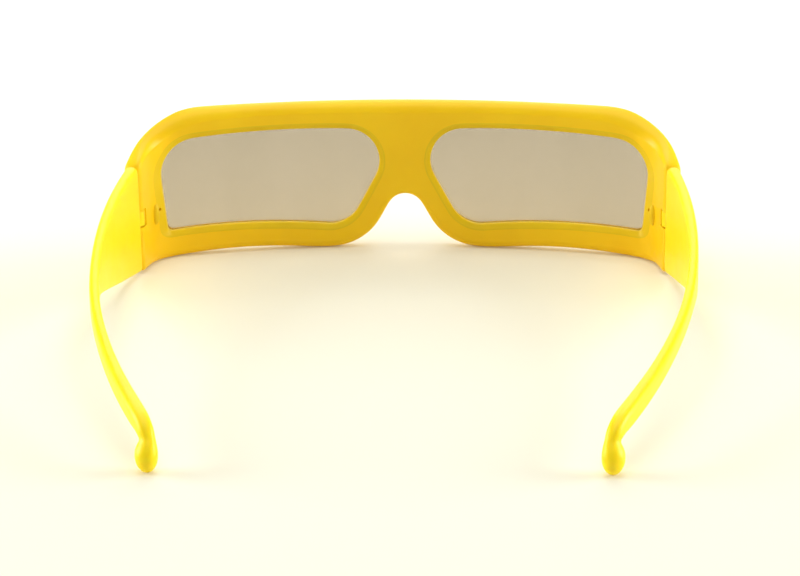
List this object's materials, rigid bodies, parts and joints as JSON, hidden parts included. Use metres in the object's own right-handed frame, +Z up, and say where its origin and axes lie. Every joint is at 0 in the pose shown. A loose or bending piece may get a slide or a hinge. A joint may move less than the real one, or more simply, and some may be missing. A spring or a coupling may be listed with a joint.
{
  "type": "3d glasses",
  "caption": "Wrap-around passive polarised 3D viewing glasses in glossy yellow plastic, with curved film lenses, snap-in lens retainers and temples that fold on pin hinges.",
  "frame": {"origin": "on the floor, below the middle of the open glasses' bounding box", "axes": "+X to the wearer's right, +Y forward out of the lenses, +Z up"},
  "size_m": [0.145, 0.151, 0.0395],
  "materials": {
    "frame_plastic": "glossy moulded yellow",
    "temple_plastic": "glossy moulded yellow",
    "retainer_plastic": "satin moulded yellow",
    "retarder_film": "clear film",
    "polariser_film": "grey-beige polarising film",
    "clear_sheet": "clear polished sheet",
    "pin_steel": "drawn steel wire"
  },
  "bodies": {
    "front": {"front_frame": "frame_plastic", "left_retarder_film": "retarder_film", "right_retarder_film": "retarder_film", "left_polariser_film": "polariser_film", "right_polariser_film": "polariser_film", "left_carrier_sheet": "clear_sheet", "right_carrier_sheet": "clear_sheet", "left_lens_retainer": "retainer_plastic", "right_lens_retainer": "retainer_plastic", "left_hinge_pin": "pin_steel", "right_hinge_pin": "pin_steel"},
    "left_temple": {"left_temple": "temple_plastic"},
    "right_temple": {"right_temple": "temple_plastic"}
  },
  "joints": [
    {"name": "left_fold", "type": "hinge", "parent": "front", "child": "left_temple", "pos_m": [-0.06773, 0.0516, 0.0147], "axis": [0, 0, 1], "range_deg": [0, 83]},
    {"name": "right_fold", "type": "hinge", "parent": "front", "child": "right_temple", "pos_m": [0.06773, 0.0516, 0.0147], "axis": [0, 0, -1], "range_deg": [0, 76]}
  ]
}
